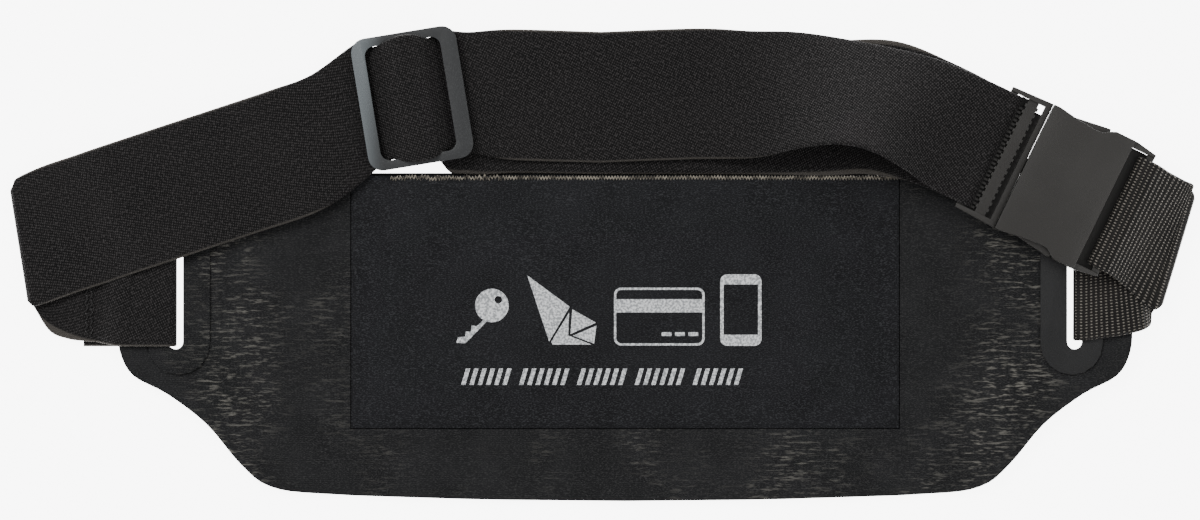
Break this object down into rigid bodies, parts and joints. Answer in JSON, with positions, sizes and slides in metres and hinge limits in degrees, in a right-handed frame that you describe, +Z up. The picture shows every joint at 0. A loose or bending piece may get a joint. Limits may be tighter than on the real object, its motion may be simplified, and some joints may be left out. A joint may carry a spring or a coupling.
{
  "type": "running belt",
  "caption": "Flat stretch waist pouch with one open-mouth pocket, an elastic band with a sliding adjuster, and a side-release buckle on a short webbing.",
  "frame": {"origin": "middle of the pouch's back face, on the surface that the belt lies on", "axes": "+X along the pouch towards the buckle, +Y towards the pocket's mouth, +Z up from the surface"},
  "size_m": [0.3747, 0.1494, 0.0223],
  "materials": {
    "pouch_fabric": "charcoal stretch fabric, fine crosswise weave",
    "pocket_fabric": "blue-black woven stretch fabric with silver reflective print",
    "patch_film": "bonded reinforcing film, embossed matt",
    "hem_thread": "beige-grey overlock thread",
    "elastic_weave": "black woven elastic, fine ribs",
    "webbing_weave": "black-brown coarse ribbed webbing",
    "stitch_thread": "black sewing thread",
    "slider_plastic": "dark grey matt plastic, fine texture",
    "buckle_plastic": "warm charcoal matt plastic"
  },
  "bodies": {
    "pouch": {"back_panel": "pouch_fabric", "front_panel": "pouch_fabric", "pocket_panel": "pocket_fabric", "mouth_hem": "hem_thread", "slot_patch_left_back": "patch_film", "slot_patch_left_front": "patch_film", "slot_patch_right_back": "patch_film", "slot_patch_right_front": "patch_film", "elastic_pouch_run": "elastic_weave", "elastic_slider_left": "elastic_weave", "elastic_slider_right": "elastic_weave", "elastic_top_run": "elastic_weave", "elastic_return_run": "elastic_weave", "elastic_anchor_loop": "elastic_weave", "elastic_tail_stitching": "stitch_thread", "webbing_strap": "webbing_weave", "webbing_tail_stitching": "stitch_thread", "socket_shell": "buckle_plastic"},
    "slider": {"slider_frame": "slider_plastic"},
    "plug": {"plug_body": "buckle_plastic"},
    "prong_upper": {"prong_upper": "buckle_plastic"},
    "prong_lower": {"prong_lower": "buckle_plastic"}
  },
  "joints": [
    {"name": "slider_slide", "type": "slide", "parent": "pouch", "child": "slider", "axis": [0.9869, 0.1616, 0], "range_m": [-0.012, 0.03], "deforming": ["elastic_slider_left", "elastic_slider_right", "elastic_anchor_loop"]},
    {"name": "plug_slide", "type": "slide", "parent": "pouch", "child": "plug", "axis": [-0.8988, 0.4384, 0], "range_m": [0, 0.025], "deforming": ["elastic_top_run", "elastic_return_run"]},
    {"name": "prong_upper_flex", "type": "hinge", "parent": "plug", "child": "prong_upper", "pos_m": [0.13307, 0.0675, 0.0103], "axis": [0, 0, 1], "range_deg": [-15.14, 0]},
    {"name": "prong_lower_flex", "type": "hinge", "parent": "plug", "child": "prong_lower", "pos_m": [0.11948, 0.03964, 0.0103], "axis": [0, 0, 1], "range_deg": [0, 15.14]}
  ],
  "couplings": [
    {"joint": "prong_upper_flex", "follows": "plug_slide", "rad_per_m": -10.5},
    {"joint": "prong_lower_flex", "follows": "plug_slide", "rad_per_m": 10.5}
  ]
}
